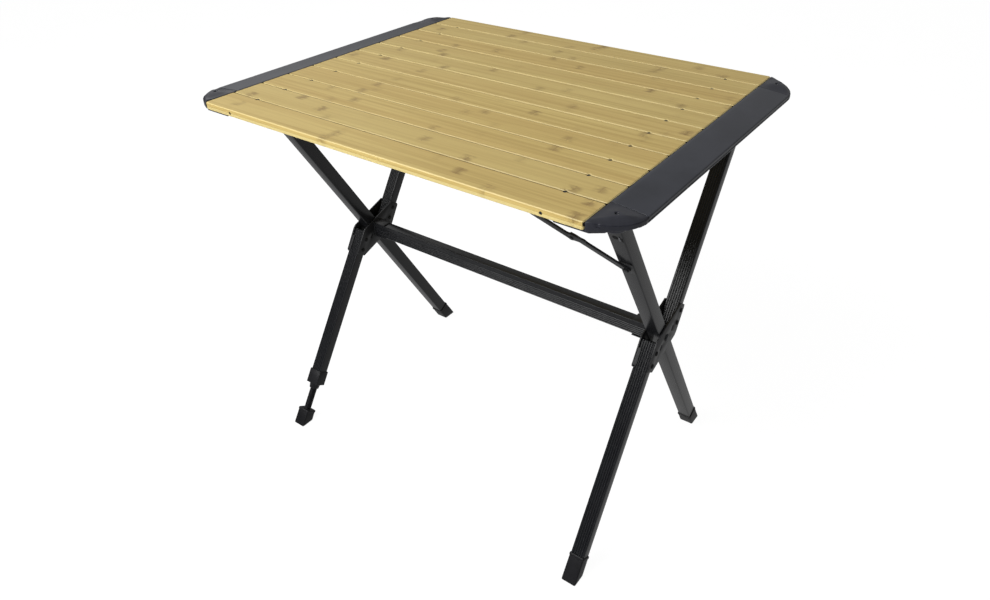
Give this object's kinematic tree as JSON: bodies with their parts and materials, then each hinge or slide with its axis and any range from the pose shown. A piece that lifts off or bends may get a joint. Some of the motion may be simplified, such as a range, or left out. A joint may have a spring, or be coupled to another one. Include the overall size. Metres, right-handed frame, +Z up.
{
  "type": "folding side table",
  "caption": "Folding camp side table: a slatted bamboo top on two dark end rails, over two scissor leg frames joined by a stretcher.",
  "frame": {"origin": "on the floor, under the middle of the table top", "axes": "+X along the slats to the end with the elbow stay, +Y to the back, +Z up"},
  "size_m": [0.809, 0.6108, 0.7],
  "materials": {
    "bamboo": "lacquered bamboo, long grain, darker nodes",
    "rail_paint": "dark blue-grey powder coat",
    "leg_paint": "dark grey powder coat over a finely grooved extrusion",
    "black_steel": "satin black",
    "black_plastic": "fine matt texture",
    "foot_rubber": "matt",
    "cord": "covered elastic cord",
    "pin_steel": "blackened rivet steel"
  },
  "bodies": {
    "top_frame": {"end_rail_left": "rail_paint", "end_rail_right": "rail_paint", "corner_cap_front_left": "black_plastic", "corner_cap_front_right": "black_plastic", "corner_cap_back_left": "black_plastic", "corner_cap_back_right": "black_plastic", "hinge_bracket_left": "black_steel", "hinge_bracket_right": "black_steel", "bar_runner_left": "black_plastic", "bar_runner_right": "black_plastic"},
    "slat_top": {"slat_01": "bamboo", "slat_02": "bamboo", "slat_03": "bamboo", "slat_04": "bamboo", "slat_05": "bamboo", "slat_06": "bamboo", "slat_07": "bamboo", "slat_08": "bamboo", "slat_09": "bamboo", "slat_10": "bamboo", "slat_11": "bamboo", "cord_left": "cord", "cord_right": "cord"},
    "back_foot_legs": {"leg_back_foot_left": "leg_paint", "leg_back_foot_right": "leg_paint", "foot_back_left": "foot_rubber", "foot_back_right": "foot_rubber", "hinge_pin_left": "pin_steel", "hinge_pin_right": "pin_steel", "pivot_pin_left": "pin_steel", "pivot_pin_right": "pin_steel", "front_cross_bar": "leg_paint", "stay_bracket": "black_steel", "stay_anchor": "black_steel"},
    "front_foot_legs": {"leg_upper_left": "leg_paint", "leg_upper_right": "leg_paint", "leg_lower_left": "leg_paint", "leg_lower_right": "leg_paint", "hub_plate_outer_left": "black_steel", "hub_plate_outer_right": "black_steel", "hub_plate_inner_left": "black_steel", "hub_plate_inner_right": "black_steel", "foot_front_right": "foot_rubber", "levelling_collar": "foot_rubber", "back_cross_bar": "leg_paint", "top_gusset_left": "black_steel", "top_gusset_right": "black_steel", "stretcher": "leg_paint", "stretcher_clip_left": "black_steel", "stretcher_clip_right": "black_steel"},
    "levelling_foot": {"levelling_foot": "foot_rubber"},
    "stay_lower": {"stay_lower": "black_steel"},
    "stay_upper": {"stay_upper": "black_steel"}
  },
  "joints": [
    {"name": "top_lift", "type": "slide", "parent": "top_frame", "child": "slat_top", "axis": [0, 0, 1], "range_m": [0, 0.1]},
    {"name": "leg_fold", "type": "hinge", "parent": "top_frame", "child": "back_foot_legs", "pos_m": [0, -0.1924, 0.652], "axis": [-1, 0, 0], "range_deg": [0, 26]},
    {"name": "hub_scissor", "type": "hinge", "parent": "back_foot_legs", "child": "front_foot_legs", "pos_m": [0, -0.014, 0.343], "axis": [1, 0, 0], "range_deg": [0, 52]},
    {"name": "foot_level", "type": "slide", "parent": "front_foot_legs", "child": "levelling_foot", "axis": [0, -0.5577, -0.83], "range_m": [-0.042, 0.012]},
    {"name": "stay_swing", "type": "hinge", "parent": "back_foot_legs", "child": "stay_lower", "pos_m": [0.332, -0.14944, 0.54539], "axis": [0, -0.866, -0.5], "range_deg": [0, 120]},
    {"name": "stay_elbow", "type": "hinge", "parent": "stay_lower", "child": "stay_upper", "pos_m": [0.25763, -0.17626, 0.58844], "axis": [0, -0.866, -0.5], "range_deg": [-168, 0]}
  ],
  "couplings": [
    {"joint": "hub_scissor", "follows": "leg_fold", "ratio": 2},
    {"joint": "stay_elbow", "follows": "stay_swing", "ratio": -1.4}
  ]
}
